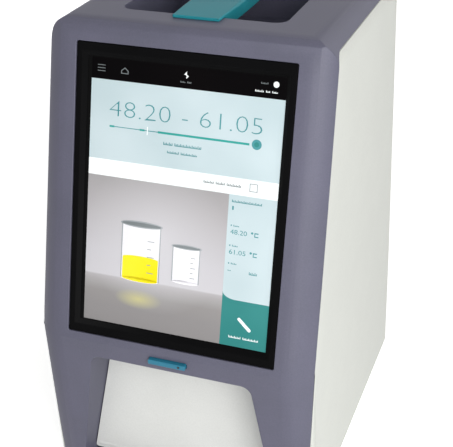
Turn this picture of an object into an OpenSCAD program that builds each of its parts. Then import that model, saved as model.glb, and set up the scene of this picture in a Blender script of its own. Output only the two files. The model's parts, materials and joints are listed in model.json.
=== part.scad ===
// Bench flash point tester: upright case with a leaning touch screen, a niche with a
// drop-down door, a recessed carrying handle, and inside it the cup lift, the oven,
// the ignition, the electronics and the supply. Millimetres, +Z up, front towards -Y.

/* [Case] */
// Width of the case at its foot
body_w = 233; // [220:1:250]
// Width of the case at its shoulder
shoulder_w = 223.8; // [216:0.2:230]
// Height of the case without the handle
body_h = 398; // [385:1:420]
// Depth from the front crease to the rear foot
body_d = 294.5; // [285:0.5:310]
// Height of the rubber feet under the case
foot_h = 6; // [4:0.5:8]
// Wall of the mouldings and sheet covers
wall = 3; // [2.5:0.5:3.5]
// Backward lean of the screen face
screen_lean = 13.7; // [12:0.1:16]
// Backward slope of the face below the crease
chin_lean = 3.9; // [2:0.1:6]
// Forward lean of the rear face
rear_lean = 5.45; // [3:0.05:7]
// Height of the crease under the screen
crease_z = 153; // [150:1:156]
// Radius of the long front edges
edge_r = 27.5; // [24:0.5:30]
// Distance of the crease in front of the origin
crease_y = 145.3; // [144:0.05:147]
// Depth of the front moulding behind the screen face
seam_depth = 11; // [10:0.5:14]
// Gap between neighbouring covers
seam_gap = 0.4; // [0.3:0.1:0.8]

/* [Screen] */
// Width of the black screen frame
bezel_w = 171; // [165:0.5:174]
// Height of the frame's lower edge above the crease, along the face
bezel_up = 6.6; // [5:0.1:8]
// Distance of the frame's upper edge under the top of the face, along the face
bezel_down = 17; // [15:0.5:20]
// Width of the black border beside the lit screen
border_x = 8.7; // [7:0.1:12]
// Height of the black border over and under the lit screen
border_z = 10.8; // [9:0.1:14]
// Depth of the touch glass behind the face
glass_depth = 4.5; // [3:0.1:6]
// Thickness of the touch glass
glass_t = 1.8; // [1.1:0.1:2.5]
// Thickness of the display module
display_t = 6; // [5:0.5:8]

/* [Niche and door] */
// Height of the niche's top edge
niche_top = 138.3; // [134:0.1:140]
// Height of the niche's floor
niche_floor = 17.5; // [16:0.5:19]
// Width of the niche at its top edge
niche_top_w = 134; // [126:0.5:138]
// Sideways flare of each niche wall
niche_flare = 9.24; // [7:0.01:10]
// Depth of the door behind the crease at its hinge line
door_back = 29; // [27:0.5:34]
// Backward lean of the door
door_lean = 6.9; // [5:0.1:8]
// Thickness of the door panel
door_t = 4; // [3:0.5:5]
// Radius of the door hinge pin
pin_r = 1.5; // [1.5:0.1:2]
// Width of the release button
button_w = 31.2; // [28:0.2:36]
// Travel of the release button
button_travel = 2; // [1.5:0.1:2.5]

/* [Handle] */
// Width of the handle trough
trough_w = 130; // [124:1:134]
// Length of the handle trough
trough_l = 132; // [126:1:136]
// Depth of the handle trough
trough_depth = 40; // [36:1:42]
// Distance of the trough's front edge in front of the origin
trough_front = 55.1; // [54:0.1:58]
// Width of the handle bar at its ends
grip_w = 36.6; // [34:0.2:40]
// Height of the handle bar
grip_h = 11; // [10:0.5:14]

/* [Lift and cup] */
// Distance of the cup's axis in front of the origin
cup_front = 58; // [57:0.5:60]
// Radius of the sample cup
cup_r = 20; // [18:0.5:20]
// Height of the sample cup
cup_h = 14; // [12:0.5:15]
// Wall of the sample cup
cup_wall = 2.2; // [2:0.1:2.6]
// Travel of the cup lift
lift_travel = 38.5; // [34:0.5:38.5]
// Height of the cup's seat when the lift is down
cup_z = 67; // [65:0.5:67]
// Radius of the guide rods
rod_r = 4; // [3:0.5:4]
// Distance between the guide rods
rod_gap = 56; // [54:1:60]
// Radius of the lead screw
screw_r = 4; // [3:0.5:4]
// Underside of the oven block
oven_z = 110; // [109.7:0.1:111]
// Underside of the lift frame's top plate
deck_z = 150; // [148:1:152]

/* [Rear] */
// Size of the cooling fan
fan_w = 80; // [80:1:90]
// Distance of the fan's centre under the top of the rear face
fan_down = 124; // [117:1:137]
// Height of the mains inlet's centre along the rear face
inlet_up = 42; // [38:1:44]
// Offset of the mains inlet from the middle
inlet_x = -62; // [-66:1:-58]

/* [Fits] */
// Radial clearance of running fits
run_fit = 0.08; // [0.05:0.01:0.1]
// Clearance around a fitted panel
panel_fit = 0.8; // [0.5:0.1:1]
// Gap between a moving piece and its stop
stop_gap = 0.3; // [0.3:0.05:0.5]

/* [Hidden] */
$fn = 64;
eps = 0.01;

front_y = -crease_y;
rear_y = front_y + body_d;
screen_top_y = front_y + (body_h - crease_z) * tan(screen_lean);
seam_z = body_h - 11;
chin_low_y = front_y + (crease_z - foot_h) * tan(chin_lean);
rear_top_y = rear_y - (body_h - foot_h) * tan(rear_lean);
reach = 2 * (body_w + body_d);
SIDE = [[chin_low_y, foot_h], [rear_y, foot_h], [rear_top_y, body_h],
    [screen_top_y, body_h], [front_y, crease_z]];
SIDE_R = [12, 8, 22, 15, 3];
FRONT = [[-body_w / 2, foot_h], [body_w / 2, foot_h],
    [shoulder_w / 2, body_h], [-shoulder_w / 2, body_h]];
FRONT_R = [8, 8, 21.5, 21.5];
edge_cx = 91;
rear_edge_r = 10;
split_x = body_w / 2 - 12.5;
rear_edge_cx = 106;
lip_t = 2.5;
lip_w = 8;

bezel_h = (body_h - crease_z) / cos(screen_lean) - bezel_up - bezel_down;
bezel_mid = bezel_up + bezel_h / 2;
lit_w = bezel_w - 2 * border_x;
lit_h = bezel_h - 2 * border_z;
bezel_t = 7;
bezel_flange = 4.5;
bezel_inset = 0.8;
display_back = glass_depth + glass_t + display_t;
bracket_t = 1.5;
boss_x = bezel_w / 2 + 11.5;
boss_up = [bezel_up + 15.4, bezel_up + bezel_h - 17.2];
boss_r = 4;

NICHE = [[-niche_x(niche_floor), niche_floor], [niche_x(niche_floor), niche_floor],
    [niche_top_w / 2, niche_top], [-niche_top_w / 2, niche_top]];
NICHE_R = [6, 6, 9, 9];
niche_wall = 2.5;
hinge_z = niche_floor + 2.5;
door_y = front_y + door_back;
pin_up = 4;
pin_in = 3.5;
knuckle_r = 4;
door_up = (niche_top - panel_fit - hinge_z) / cos(door_lean);
ring_w = 8;
ring_t = 2.5;
ring_in = door_t + stop_gap;
liner_in = ring_in + ring_t;
button_h = 4.4;
button_z = -5.9;

trough_y0 = -trough_front;
trough_y1 = trough_y0 + trough_l;
trough_z = body_h - trough_depth;
tab_l = 10.6;
tab_t = 2.4;
grip_top = body_h + tab_t;
grip_mid_w = grip_w + 4.4;

base_z = foot_h + wall;
base_t = 2;
floor_z = base_z + base_t;
foot_r = 11;
foot_x = body_w / 2 - 32.5;
foot_y = [front_y + 47.3, rear_y - 33.2];

cup_y = -cup_front;
screw_y = -8;
frame_w = 100;
frame_t = 4;
frame_y1 = 20;
frame_y0 = -92;
foot_top = floor_z + frame_t;
deck_top = deck_z + frame_t;
motor_w = 42;
motor_h = 38;
motor_top = foot_top + motor_h;
shaft_r = 2.5;
nut_z = 62;
nut_h = 22;
plate_t = 12;
plate_r = 26;
plate_z = cup_z + 3 - plate_t;
magnet_r = 12;
liner_w = 76;
liner_t = 1.5;
liner_top = oven_z - 2;
liner_y1 = -30;
oven_w = 66;
chamber_r = 22;
chamber_top = 134;
spark_z = chamber_top - 3.5;
neck_w = 44;
peltier_w = 40;
peltier_t = 3.5;
sink_w = 80;
igniter_y = -30;
lead_x = 68;
lead_r = 2.5;
lead_bend = 9;

board_w = 140;
board_h = 130;
board_z = trough_z - 153;
standoff_h = 6;

supply_x = -28;
supply_y = frame_y1 + 26;
supply_w = 104;
supply_h = 44;

fan_up = body_h - foot_h - fan_down;
fan_t = 25;
guard_r = 1.2;
inlet_w = 27;
inlet_h = 20;
fuse_up = inlet_up + 22;
fuse_w = 22;
fuse_h = 10;
switch_up = inlet_up + 44;
rocker_w = 13;
rocker_h = 21;
rocker_y = -1;
axle_r = 1.2;
port_up = 150;
port_x = 42;

function unit(v) = v / norm(v);
function niche_x(z) = niche_top_w / 2 + (niche_top - z) * tan(niche_flare);
function spots(xs, ys) = [for (x = xs) for (y = ys) [x, y]];
// Outward normal of edge i of a polygon that runs anticlockwise
function edge_n(p, i) = let (d = unit(p[(i + 1) % len(p)] - p[i])) [d[1], -d[0]];
// Corner i of the polygon after every edge moves inwards by t
function corner_in(p, i, t) = let (
    a = edge_n(p, (i + len(p) - 1) % len(p)),
    b = edge_n(p, i)
) p[i] - t * (a + b) / (1 + a * b);
function inset(p, t) = [for (i = [0:len(p) - 1]) corner_in(p, i, t)];
function tangent_l(p, i, r) = let (
    a = edge_n(p, (i + len(p) - 1) % len(p)),
    b = edge_n(p, i)
) r * tan(acos(min(1, a * b)) / 2);

// Convex outline with each corner rounded to its own radius
module soft_outline(p, radii) {
    n = len(p);
    polygon([for (i = [0:n - 1]) for (s = [0, 1])
        p[i] + tangent_l(p, i, radii[i])
            * unit(p[s == 0 ? (i + n - 1) % n : (i + 1) % n] - p[i])]);
    for (i = [0:n - 1])
        translate(corner_in(p, i, radii[i])) circle(radii[i]);
}

module soft_box(w, h, r) {
    soft_outline([[-w / 2, -h / 2], [w / 2, -h / 2], [w / 2, h / 2], [-w / 2, h / 2]],
        [r, r, r, r]);
}

// Frame on the screen face: origin on the crease, y into the case, z up the slope
module screen_frame() translate([0, front_y, crease_z]) rotate([-screen_lean, 0, 0]) children();

// Frame on the face under the crease, with the same axes
module chin_frame() translate([0, front_y, crease_z]) rotate([chin_lean, 0, 0]) children();

// Frame on the rear face: origin at its foot, y out of the case, z up the slope
module rear_frame() translate([0, rear_y, foot_h]) rotate([rear_lean, 0, 0]) children();

// Frame on the door's outer face: origin on its lower edge, y into the case
module door_frame() translate([0, door_y, hinge_z]) rotate([-door_lean, 0, 0]) children();

// Turns an outline in (x, z) into a slab along +y
module along_y(l) rotate([90, 0, 0]) mirror([0, 0, 1]) linear_extrude(l) children();

// Turns an outline in (y, z) into a bar along x, centred on the middle
module along_x(l) rotate([90, 0, 90]) linear_extrude(l, center = true) children();

module block(x0, x1, y0, y1, z0, z1) {
    translate([x0, y0, z0]) cube([x1 - x0, y1 - y0, z1 - z0]);
}

module rod_x(r, x0, x1) translate([x0, 0, 0]) rotate([0, 90, 0]) cylinder(r = r, h = x1 - x0);

module rod_y(r, y0, y1) translate([0, y0, 0]) rotate([-90, 0, 0]) cylinder(r = r, h = y1 - y0);

// Case form with all its faces moved inwards by t
module case_form(t) {
    intersection() {
        along_x(reach) soft_outline(inset(SIDE, t), [for (r = SIDE_R) max(r - t, 0.5)]);
        translate([0, -reach / 2, 0]) along_y(reach)
            soft_outline(inset(FRONT, t), [for (r = FRONT_R) max(r - t, 0.5)]);
        screen_frame() edge_prism(t);
        chin_frame() edge_prism(t);
        rear_frame() mirror([0, 1, 0]) rear_prism(t);
    }
}

module edge_prism(t) corner_prism(t, edge_cx, edge_r);

module rear_prism(t) corner_prism(t, rear_edge_cx, rear_edge_r);

// Long prism whose two near edges are rounded about x = +-cx
module corner_prism(t, cx, r) {
    translate([0, 0, -reach / 2]) linear_extrude(reach) {
        translate([-cx, t]) square([2 * cx, reach]);
        translate([-cx - r + t, r]) square([2 * (cx + r - t), reach]);
        for (s = [-1, 1]) translate([s * cx, r]) circle(r - t);
    }
}

module case_shell(t0, t1) {
    difference() {
        case_form(t0);
        case_form(t1);
    }
}

// Everything behind the front moulding and under the deck, moved inwards by g
module seam_zone(g) {
    seam_low_y = chin_low_y + seam_depth + 3;
    seam_mid_y = front_y + seam_depth + 3;
    seam_top_y = front_y + seam_depth + (seam_z - crease_z) * tan(screen_lean);
    pts = [[seam_low_y, -body_h], [reach, -body_h], [reach, seam_z],
        [seam_top_y, seam_z], [seam_mid_y, crease_z]];
    along_x(reach) soft_outline(inset(pts, g), [1, 1, 1, 14, 12]);
}

module screen_hole(fit, y0, y1) {
    screen_frame() translate([0, y0, bezel_mid]) along_y(y1 - y0)
        soft_box(bezel_w + 2 * fit, bezel_h + 2 * fit, 1.5);
}

module niche_prism(g) {
    translate([0, -reach, 0]) along_y(reach + door_y + 40)
        soft_outline(inset(NICHE, g), [for (r = NICHE_R) max(r - g, 0.5)]);
}

// Space in front of a plane that lies y behind the door's outer face
module before_door(y) door_frame() block(-reach, reach, -reach, y, -reach, reach);

module front_cover() {
    color("#6f6c80") difference() {
        union() {
            difference() {
                case_shell(0, wall);
                seam_zone(0);
            }
            seam_lip();
            intersection() {
                case_form(0);
                union() {
                    niche_walls();
                    trough_walls();
                    screen_bosses();
                }
            }
        }
        screen_hole(seam_gap, -5, wall + 1);
        intersection() {
            niche_prism(0);
            before_door(ring_in);
        }
        niche_window();
        trough_space(0, trough_z);
        button_slot();
        hinge_line() rod_x(pin_r, -niche_top_w, niche_top_w);
        handle_screw_spots() cylinder(r = 1.5, h = 3 * wall, center = true);
        boss_spots() rod_y(1.2, -boss_r, eps);
    }
}

// Inner lip along the seam, on which the side panels and the rear panel rest
module seam_lip() {
    difference() {
        intersection() {
            case_shell(wall, wall + lip_t);
            seam_zone(-lip_w / 2);
        }
        seam_zone(lip_w);
        block(-reach, reach, -reach, reach, -reach, base_z + 6);
        block(-edge_cx - 4, edge_cx + 4, -reach, rear_top_y - 10, seam_z + 1, reach);
    }
}

module niche_walls() {
    intersection() {
        niche_prism(-niche_wall);
        before_door(liner_in);
    }
}

// Mouth of the niche behind the door: the ring that is left is the door's stop
module niche_window() {
    difference() {
        intersection() {
            niche_prism(ring_w);
            before_door(liner_in + 1);
        }
        before_door(0);
    }
    door_frame() block(-niche_x(hinge_z) + 1, niche_x(hinge_z) - 1, -1, liner_in + 1, -2, 14);
}

module trough_space(g, z0) {
    translate([0, (trough_y0 + trough_y1) / 2, z0]) linear_extrude(body_h)
        soft_box(trough_w + 2 * g, trough_l + 2 * g, 10 + g);
}

module trough_walls() trough_space(niche_wall, trough_z - niche_wall);

module boss_spots() {
    for (x = [-boss_x, boss_x]) for (z = boss_up)
        screen_frame() translate([x, display_back, z]) children();
}

module screen_bosses() boss_spots() rod_y(boss_r, -display_back, 0);

module button_slot() {
    chin_frame() translate([0, -5, button_z]) along_y(wall + 6)
        soft_box(button_w + 2 * stop_gap, button_h + 2 * stop_gap, 1.4);
}

module hinge_line() door_frame() translate([0, pin_in, pin_up]) children();

module handle_screw_spots() {
    for (x = [-11, 11]) for (y = [trough_y0 - 5.5, trough_y1 + 5.5])
        translate([x, y, body_h]) children();
}

module carry_handle() {
    y0 = trough_y0 - tab_l;
    y1 = trough_y1 + tab_l;
    low = grip_top - grip_h;
    slope = 6;
    mid = (y0 + y1) / 2;
    bow = (grip_mid_w - grip_w) / 2;
    bow_r = (pow((y1 - y0) / 2, 2) + bow * bow) / (2 * bow);
    color("#4f9aa3") difference() {
        intersection() {
            along_x(reach) polygon([[y0, body_h], [trough_y0 + 1, body_h],
                [trough_y0 + slope, low], [trough_y1 - slope, low],
                [trough_y1 - 1, body_h], [y1, body_h], [y1, grip_top], [y0, grip_top]]);
            translate([0, mid, 0]) linear_extrude(reach) intersection() {
                soft_box(2 * grip_w, y1 - y0, 0.5);
                translate([grip_mid_w / 2 - bow_r, 0]) circle(bow_r, $fn = 1440);
                translate([bow_r - grip_mid_w / 2, 0]) circle(bow_r, $fn = 1440);
            }
            translate([0, -reach / 2, grip_top - 20]) along_y(reach)
                soft_outline([[-grip_mid_w / 2, 0], [grip_mid_w / 2, 0],
                    [grip_mid_w / 2, 20], [-grip_mid_w / 2, 20]], [0.5, 0.5, 3, 3]);
        }
        handle_screw_spots() cylinder(r = 1.5, h = tab_t - 0.8);
    }
}

module handle_screws() {
    color("#9a9da0") handle_screw_spots() {
        translate([0, 0, -wall]) cylinder(r = 1.5, h = wall + tab_t - 0.8);
        translate([0, 0, -wall - 1.8]) cylinder(r = 3, h = 1.8);
    }
}

// Cover of one side: the flat panel with its bent edges and a flange under the rear panel
module side_panel() {
    color("#dcdcd6") difference() {
        union() {
            intersection() {
                case_shell(0, wall);
                seam_zone(seam_gap);
                block(split_x, reach, -reach, reach, -reach, reach);
            }
            intersection() {
                case_shell(wall, wall + lip_t);
                block(split_x - 14, reach, rear_y - 59, reach, 20, seam_z - lip_w - 2);
            }
        }
        rear_screw_spots() rod_y(1.5, -20, 5);
    }
}

module side_panel_right() side_panel();

module side_panel_left() mirror([1, 0, 0]) side_panel();

module rear_screw_spots() {
    rear_frame() for (x = [-split_x + 8, split_x - 8]) for (i = [0:3])
        translate([x, 0, 30 + i * (body_h - foot_h - 92) / 3]) children();
}

module rear_screws() {
    color("#a9abad") rear_screw_spots() {
        rod_y(1.5, -wall - lip_t - 2, 0);
        difference() {
            rod_y(3, 0, 1.8);
            rod_y(1, 0.8, 2);
        }
    }
}

module rear_panel() {
    color("#d4d5d0") difference() {
        intersection() {
            case_shell(0, wall);
            seam_zone(seam_gap);
            block(-split_x + seam_gap, split_x - seam_gap, rear_top_y - 40, reach, -reach, reach);
        }
        block(-reach, reach, -reach, rear_y - 20, -reach, base_z + eps);
        rear_frame() {
            translate([0, 0, fan_up]) rod_y(fan_w / 2 - 3, -8, 5);
            rear_cutout(inlet_x, inlet_up, inlet_w, inlet_h);
            rear_cutout(inlet_x, fuse_up, fuse_w + 2 * seam_gap, fuse_h + 2 * seam_gap);
            rear_cutout(inlet_x, switch_up, rocker_w + 4, rocker_h + 4);
            rear_cutout(port_x, port_up, 66 + 4 * seam_gap, 17 + 4 * seam_gap);
            for (x = [-36:12:36]) translate([x, 0, fan_up - 62]) vent(5, 22);
            for (x = [-12:12:84]) translate([x, 0, 36]) vent(5, 34);
        }
        rear_screw_spots() rod_y(1.5, -10, 5);
        fan_screw_spots() rod_y(1.8, -10, 5);
    }
}

module rear_cutout(x, up, w, h) translate([x, -8, up]) along_y(13) soft_box(w, h, 1.5);

module vent(w, h) translate([0, -8, 0]) along_y(13) soft_box(w, h, w / 2 - 0.1);

module base_plate() {
    color("#b7babc") difference() {
        intersection() {
            case_form(wall);
            block(-reach, reach, -reach, reach, base_z, floor_z);
        }
        foot_spots() cylinder(r = 2.2, h = 3 * base_z);
        for (x = [-60:15:60]) translate([x, 60, 0]) linear_extrude(3 * base_z)
            soft_box(6, 34, 2.9);
    }
}

module foot_spots() {
    for (x = [-foot_x, foot_x]) for (y = foot_y) translate([x, y, 0]) children();
}

module feet() {
    color("#2b2b2d") foot_spots() rotate_extrude() difference() {
        polygon([[0, 0], [foot_r - 2, 0], [foot_r, 3], [foot_r, base_z], [0, base_z]]);
        square([4.5, 3]);
        square([2.2, base_z + 1]);
    }
}

module foot_screws() {
    color("#a9abad") foot_spots() {
        translate([0, 0, 3]) cylinder(r = 2.2, h = floor_z + 1 - 3);
        translate([0, 0, 1]) cylinder(r = 4.2, h = 2);
    }
}

// Pyramid-shaped opening that narrows by the same amount on every side
module taper_hole(w, h, deep, grow) {
    intersection() {
        linear_extrude(reach, center = true) polygon([[-w / 2, deep], [w / 2, deep],
            [w / 2 + grow, deep - grow], [-w / 2 - grow, deep - grow]]);
        along_x(reach) polygon([[deep, -h / 2], [deep, h / 2],
            [deep - grow, h / 2 + grow], [deep - grow, -h / 2 - grow]]);
    }
}

module screen_bezel() {
    grow = 6;
    color("#17181a") screen_frame() translate([0, 0, bezel_mid]) difference() {
        union() {
            translate([0, bezel_inset, 0]) along_y(bezel_t - bezel_inset)
                soft_box(bezel_w, bezel_h, 1.2);
            translate([0, wall, 0]) along_y(bezel_t - wall)
                soft_box(bezel_w + 2 * bezel_flange, bezel_h + 2 * bezel_flange, 4);
        }
        taper_hole(lit_w + 1, lit_h + 1, glass_depth + eps, grow);
        translate([0, glass_depth, 0]) along_y(bezel_t)
            soft_box(lit_w + 7, lit_h + 7, 1.5);
    }
}

module touch_glass() {
    color("#0c0d0f") screen_frame() translate([0, glass_depth, bezel_mid]) along_y(glass_t)
        soft_box(lit_w + 7, lit_h + 7, 1.5);
}

module display_panel() {
    color("#c9cdd0") screen_frame() translate([0, glass_depth + glass_t, bezel_mid])
        along_y(display_t) soft_box(lit_w + 6, lit_h + 6, 1);
}

module display_bracket() {
    w = bezel_w + 2 * bezel_flange;
    h = bezel_h + 2 * bezel_flange;
    color("#b4b8ba") screen_frame() translate([0, 0, bezel_mid]) difference() {
        union() {
            translate([0, bezel_t, 0]) along_y(display_back + bracket_t - bezel_t)
                soft_box(w, h, 4);
            for (z = boss_up) block(-boss_x - boss_r, boss_x + boss_r,
                display_back, display_back + bracket_t,
                z - bezel_mid - boss_r, z - bezel_mid + boss_r);
        }
        translate([0, bezel_t - 1, 0]) along_y(display_back - bezel_t + 1)
            soft_box(w - 2 * bracket_t, h - 2 * bracket_t, 2.5);
        for (x = [-w / 4.5, w / 4.5]) for (z = [-h / 4, h / 4]) translate([x, 0, z])
            along_y(2 * display_back) soft_box(30, h / 3, 5);
        for (x = [-boss_x, boss_x]) for (z = boss_up)
            translate([x, 0, z - bezel_mid]) rod_y(1.2, display_back - 1, 2 * display_back);
    }
}

module display_screws() {
    color("#a9abad") boss_spots() {
        rod_y(1.2, -boss_r, bracket_t);
        rod_y(2.6, bracket_t, bracket_t + 1.8);
    }
}

module door() {
    w0 = niche_x(hinge_z) - panel_fit;
    w1 = niche_x(hinge_z + door_up * cos(door_lean)) - panel_fit;
    color("#dedfdb") door_frame() difference() {
        union() {
            along_y(door_t) soft_outline([[-w0, 0], [w0, 0], [w1, door_up], [-w1, door_up]],
                [2, 2, 8, 8]);
            translate([0, pin_in, pin_up]) rod_x(knuckle_r, -w0 + 3, w0 - 3);
        }
        translate([0, pin_in, pin_up]) rod_x(pin_r + run_fit, -reach, reach);
    }
}

module hinge_pin() {
    half = niche_x(hinge_z + pin_up) + niche_wall;
    color("#c2c4c6") hinge_line() rod_x(pin_r, -half, half);
}

module latch_button() {
    color("#3f9bb0") chin_frame() translate([0, 0, button_z]) difference() {
        union() {
            translate([0, -3.2, 0]) along_y(11) soft_box(button_w, button_h, 1.2);
            translate([0, wall + stop_gap, 0]) along_y(2)
                soft_box(button_w + 5, button_h + 2, 1.2);
        }
        translate([10, 0, 0]) rod_y(0.9, -4, -1.5);
    }
}

module status_lamp() {
    color("#1d3c4a") chin_frame() translate([10, 0, button_z]) rod_y(0.9, -3.4, -1.5);
}

module latch_switch() {
    y = front_y + 8 + button_travel + stop_gap;
    color("#2e3033") {
        block(-14, 14, y + 3, y + 15, niche_top + niche_wall, niche_top + niche_wall + 11);
        translate([0, 0, crease_z + button_z]) {
            rod_y(2, y + 0.2, y + 3);
        }
    }
}

// Lining of the sample bay: floor, sides and back, with a flange behind the niche ring
module bay_liner() {
    half = liner_w / 2;
    color("#c6c9cb") {
        difference() {
            block(-half, half, -reach, liner_y1, foot_top, liner_top);
            block(-half + liner_t, half - liner_t, -reach, liner_y1 - liner_t,
                foot_top + liner_t, reach);
            block(-12, 12, liner_y1 - liner_t - 1, liner_y1 + 1, plate_z - 4, reach);
            before_door(liner_in);
            hinge_line() rod_x(norm([pin_in, pin_up]) + stop_gap, -reach, reach);
        }
        difference() {
            intersection() {
                niche_prism(1);
                before_door(liner_in + liner_t);
            }
            before_door(liner_in);
            door_frame() block(-reach, reach, -reach, reach, -reach, pin_up + knuckle_r + 1);
            block(-half + liner_t, half - liner_t, -reach, reach, foot_top + liner_t, liner_top);
        }
    }
}

// Foot, back and deck that carry the lift, the oven and the cooler
module lift_frame() {
    half = frame_w / 2;
    color("#aeb2b5") difference() {
        union() {
            block(-half, half, frame_y0, frame_y1, floor_z, foot_top);
            block(-half, half, frame_y1 - frame_t, frame_y1, foot_top, deck_top);
            block(-half, half, frame_y0, frame_y1, deck_z, deck_top);
            for (x = [-half + 4, half - 4]) translate([x, frame_y0 + 4, foot_top])
                cylinder(r = 4, h = deck_z - foot_top);
        }
        translate([0, cup_y, deck_z - 1]) linear_extrude(frame_t + 2) soft_box(neck_w, neck_w, 2);
        translate([0, screw_y, deck_z - 1]) cylinder(r = shaft_r + run_fit, h = frame_t + 2);
    }
}

module rod_spots() for (x = [-rod_gap / 2, rod_gap / 2]) translate([x, screw_y, 0]) children();

module guide_rods() {
    color("#c9ccce") rod_spots() translate([0, 0, foot_top]) cylinder(r = rod_r, h = deck_z - foot_top);
}

module lead_screw() {
    z0 = motor_top + 1;
    z1 = deck_z - 1;
    color("#b8bbbd") translate([0, screw_y, 0]) difference() {
        union() {
            translate([0, 0, z0]) cylinder(r = screw_r, h = z1 - z0);
            translate([0, 0, z0]) cylinder(r = screw_r + 2, h = 6);
            translate([0, 0, z1]) cylinder(r = shaft_r, h = frame_t);
        }
        translate([0, 0, z0 - 1]) cylinder(r = shaft_r + run_fit, h = 9);
    }
}

module lift_motor() {
    color("#3a3c40") translate([0, screw_y, foot_top]) {
        linear_extrude(motor_h) soft_box(motor_w, motor_w, 4);
        cylinder(r = shaft_r, h = motor_h + 8);
    }
}

module lift_carriage() {
    color("#9fa4a8") difference() {
        union() {
            block(-rod_gap / 2 - 8, rod_gap / 2 + 8, screw_y - 12, screw_y + 12, nut_z, nut_z + nut_h);
            block(-10, 10, cup_y, screw_y, plate_z, plate_z + 9);
            translate([0, cup_y, plate_z]) cylinder(r = plate_r, h = plate_t);
            block(-10, 10, screw_y - 12, screw_y + 12, plate_z, nut_z + 1);
        }
        rod_spots() cylinder(r = rod_r + run_fit, h = reach);
        translate([0, screw_y, 0]) cylinder(r = screw_r + run_fit, h = reach);
        translate([0, screw_y, 0]) cylinder(r = screw_r + 2.5, h = nut_z);
        translate([0, cup_y, cup_z]) cylinder(r = cup_r + stop_gap, h = plate_t);
        translate([0, cup_y, plate_z - 1]) cylinder(r = magnet_r + 2, h = plate_t - 3 - 1.5 + 1);
    }
}

module stir_motor() {
    color("#4a4c50") translate([0, cup_y, 0]) {
        translate([0, 0, plate_z - 22]) cylinder(r = 12, h = 20);
        translate([0, 0, plate_z - 2]) cylinder(r = 20, h = 2);
        translate([0, 0, plate_z]) cylinder(r = 1.5, h = 6);
    }
}

module stir_magnet() {
    color("#8d6f4a") translate([0, cup_y, plate_z + 2]) difference() {
        cylinder(r = magnet_r, h = 4.5);
        translate([0, 0, -1]) cylinder(r = 1.5 + run_fit, h = 6);
        for (x = [-7, 7]) translate([x, 0, 3.5]) cylinder(r = 2.5, h = 2);
    }
}

module cup_gasket() {
    color("#1f1f21") translate([0, cup_y, cup_z + 3]) rotate_extrude()
        translate([cup_r + 1.2, 0]) square([3, 1.2]);
}

module sample_cup() {
    color("#d8dadb") translate([0, cup_y, cup_z]) rotate_extrude() {
        difference() {
            polygon([[0, 0], [cup_r - 1, 0], [cup_r, 1], [cup_r, cup_h], [0, cup_h]]);
            polygon([[0, 3.5], [cup_r - cup_wall - 2, 3.5], [cup_r - cup_wall, 5.5],
                [cup_r - cup_wall, cup_h + 1], [0, cup_h + 1]]);
        }
    }
}

module stir_bar() {
    r = 2;
    color("#f0f0ee") translate([0, cup_y, cup_z + 3.5 + 0.2 + r]) {
        rod_x(r, -6, 6);
        for (x = [-6, 6]) translate([x, 0, 0]) sphere(r);
    }
}

module spark_line() translate([0, cup_y, spark_z]) children();

module oven_block() {
    color("#b9a58a") difference() {
        union() {
            translate([0, cup_y, oven_z]) linear_extrude(deck_z - oven_z) soft_box(oven_w, oven_w, 8);
            translate([0, cup_y, deck_z - 1]) linear_extrude(frame_t + 1) soft_box(neck_w, neck_w, 2);
        }
        translate([0, cup_y, oven_z - 1]) cylinder(r = chamber_r, h = chamber_top - oven_z + 1);
        spark_line() {
            rod_x(3, 0, oven_w);
            rod_x(1.2, -oven_w, 0);
            rod_y(1.5, 0, oven_w);
        }
    }
}

module insulator() {
    color("#efece2") spark_line() difference() {
        union() {
            rod_x(3, chamber_r - 4, oven_w / 2 + 4);
            rod_x(5, oven_w / 2, oven_w / 2 + 3);
        }
        rod_x(1, 0, oven_w);
    }
}

module hv_electrode() color("#c8cacc") spark_line() rod_x(1, 2, oven_w / 2 + 8);

module earth_electrode() {
    color("#c8cacc") spark_line() {
        rod_x(1.2, -oven_w / 2 - 4, -2);
        rod_x(3.5, -oven_w / 2 - 4, -oven_w / 2);
    }
}

module thermocouple() {
    color("#d0c9b4") spark_line() {
        rod_y(1.5, 8, oven_w / 2 + 6);
        rod_y(4, oven_w / 2, oven_w / 2 + 6);
    }
}

module peltier_module() {
    color("#e6e4dc") translate([0, cup_y, deck_top]) linear_extrude(peltier_t)
        soft_box(peltier_w, peltier_w, 1);
}

module heat_sink() {
    base_t = 4.5;
    fin_h = 32;
    z0 = deck_top + peltier_t;
    color("#8f9499") translate([0, cup_y, 0]) {
        translate([0, 0, z0]) linear_extrude(base_t) soft_box(sink_w, sink_w, 2);
        for (p = spots([-30, 30], [-30, 30])) translate([p[0], p[1], deck_top]) cylinder(r = 4, h = peltier_t);
        for (x = [-38:6.9:38]) block(x - 0.8, x + 0.8, -sink_w / 2, sink_w / 2, z0 + base_t, z0 + base_t + fin_h);
    }
}

module igniter_module() {
    color("#33353a") {
        block(56, 98, igniter_y, frame_y1, spark_z - 45, spark_z + 15);
        translate([lead_x, 0, spark_z]) rod_y(5, igniter_y - 6, igniter_y);
    }
}

// Lead from the insulator: out along x, round a bend, then back along y into the module
module ignition_lead() {
    x0 = oven_w / 2 + 4;
    bend_x = lead_x - lead_bend;
    color("#8b2f2a") spark_line() {
        difference() {
            rod_x(lead_r, x0, bend_x);
            rod_x(1, 0, oven_w / 2 + 8);
        }
        translate([bend_x, lead_bend, 0]) rotate([0, 0, -90]) rotate_extrude(angle = 90)
            translate([lead_bend, 0]) circle(lead_r);
        translate([lead_x, 0, 0]) rod_y(lead_r, lead_bend, igniter_y - 6 - cup_y);
    }
}

module pressure_sensor() {
    color("#2f6f8f") {
        block(-30, -8, -8, 12, deck_top, deck_top + 12);
        translate([0, 2, deck_top + 8]) rod_x(2.2, -8, -4);
    }
}

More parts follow.
